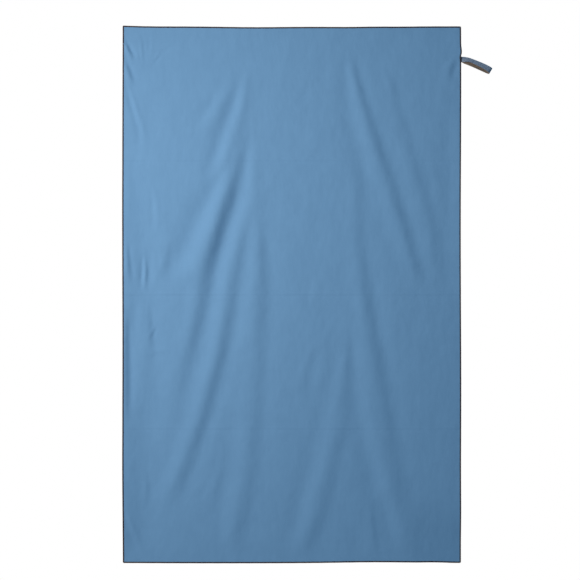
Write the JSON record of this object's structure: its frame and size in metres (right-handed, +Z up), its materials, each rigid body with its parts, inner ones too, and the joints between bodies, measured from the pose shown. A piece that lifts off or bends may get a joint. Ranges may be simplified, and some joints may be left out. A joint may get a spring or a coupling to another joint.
{
  "type": "quick dry towel",
  "caption": "Large thin microfibre towel with an overlocked edge, a crease to fold it in half and a woven tape loop to hang it by.",
  "frame": {"origin": "on the back face of the cloth, in the middle of its width, 25 mm below the top edge, where a clip or a rail holds it", "axes": "+Z up the towel's length, +X to the towel's right as seen from the front, +Y out of its back"},
  "size_m": [1.1987, 0.0207, 1.75],
  "materials": {
    "cloth": "brushed microfibre, matte with a soft sheen",
    "seam_thread": "dark polyester overlock thread",
    "loop_tape": "woven polyester tape, grey-blue outside and taupe inside",
    "tack_thread": "dense dark thread"
  },
  "bodies": {
    "upper_half": {"upper_cloth": "cloth", "top_edge_seam": "seam_thread", "upper_left_edge_seam": "seam_thread", "upper_right_edge_seam": "seam_thread", "loop_tail": "loop_tape", "loop_bartack": "tack_thread"},
    "lower_half": {"lower_cloth": "cloth", "bottom_edge_seam": "seam_thread", "lower_left_edge_seam": "seam_thread", "lower_right_edge_seam": "seam_thread"},
    "loop": {"hang_loop": "loop_tape"}
  },
  "joints": [
    {"name": "middle_fold", "type": "hinge", "parent": "upper_half", "child": "lower_half", "pos_m": [0, -0.0003, -0.85], "axis": [1, 0, 0], "range_deg": [-165, 165]},
    {"name": "loop_swing", "type": "hinge", "parent": "upper_half", "child": "loop", "pos_m": [0.5545, 0.0002, -0.082], "axis": [0, 0, 1], "range_deg": [-125, 130], "stiffness_Nm_per_rad": 0.003}
  ]
}
